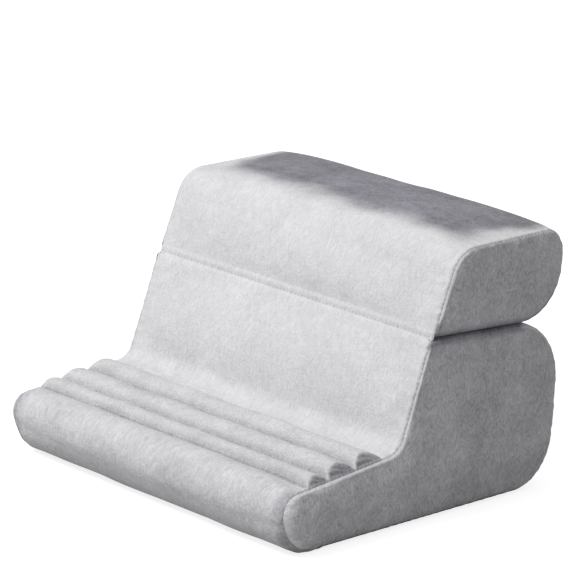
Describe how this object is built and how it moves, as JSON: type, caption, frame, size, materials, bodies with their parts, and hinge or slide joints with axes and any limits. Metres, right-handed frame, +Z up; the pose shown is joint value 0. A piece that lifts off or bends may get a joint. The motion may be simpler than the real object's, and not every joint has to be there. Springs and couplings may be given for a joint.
{
  "type": "tablet cushion stand",
  "caption": "Plush covered foam stand with a ribbed ledge, a leaning backrest and a folding top block that holds a tablet upright.",
  "frame": {"origin": "on the floor under the middle of the underside, midway between the side seams", "axes": "+X to the right as seen from the front, +Y from the ledge's nose to the rear, +Z up from the floor"},
  "size_m": [0.26, 0.2539, 0.1775],
  "materials": {
    "plush": "short pile plush, light grey",
    "grip_cloth": "dark cloth with rubber grip dots",
    "foam": "open cell cushion foam",
    "zip_tape": "woven tape with a nylon coil",
    "zip_metal": "satin grey",
    "thread": "rolled plush seam"
  },
  "bodies": {
    "base": {"base_foam": "foam", "front_rib_pad": "foam", "middle_rib_pad": "foam", "rear_rib_pad": "foam", "base_front_cover": "plush", "base_rear_cover": "plush", "base_left_side_panel": "plush", "base_right_side_panel": "plush", "base_bottom_panel": "grip_cloth", "base_zip_tape": "zip_tape", "hinge_seam": "thread"},
    "block": {"block_foam": "foam", "block_cover": "plush", "block_under_cover": "plush", "block_left_side_panel": "plush", "block_right_side_panel": "plush", "block_zip_tape": "zip_tape"},
    "base_zip": {"base_zip_slider": "zip_metal"},
    "block_zip": {"block_zip_slider": "zip_metal"}
  },
  "joints": [
    {"name": "block_fold", "type": "hinge", "parent": "base", "child": "block", "pos_m": [0, -0.00039, 0.11906], "axis": [1, 0, 0], "range_deg": [0, 155]},
    {"name": "base_zip_slide", "type": "slide", "parent": "base", "child": "base_zip", "axis": [1, 0, 0], "range_m": [0, 0.178]},
    {"name": "block_zip_slide", "type": "slide", "parent": "block", "child": "block_zip", "axis": [1, 0, 0], "range_m": [0, 0.178]}
  ]
}
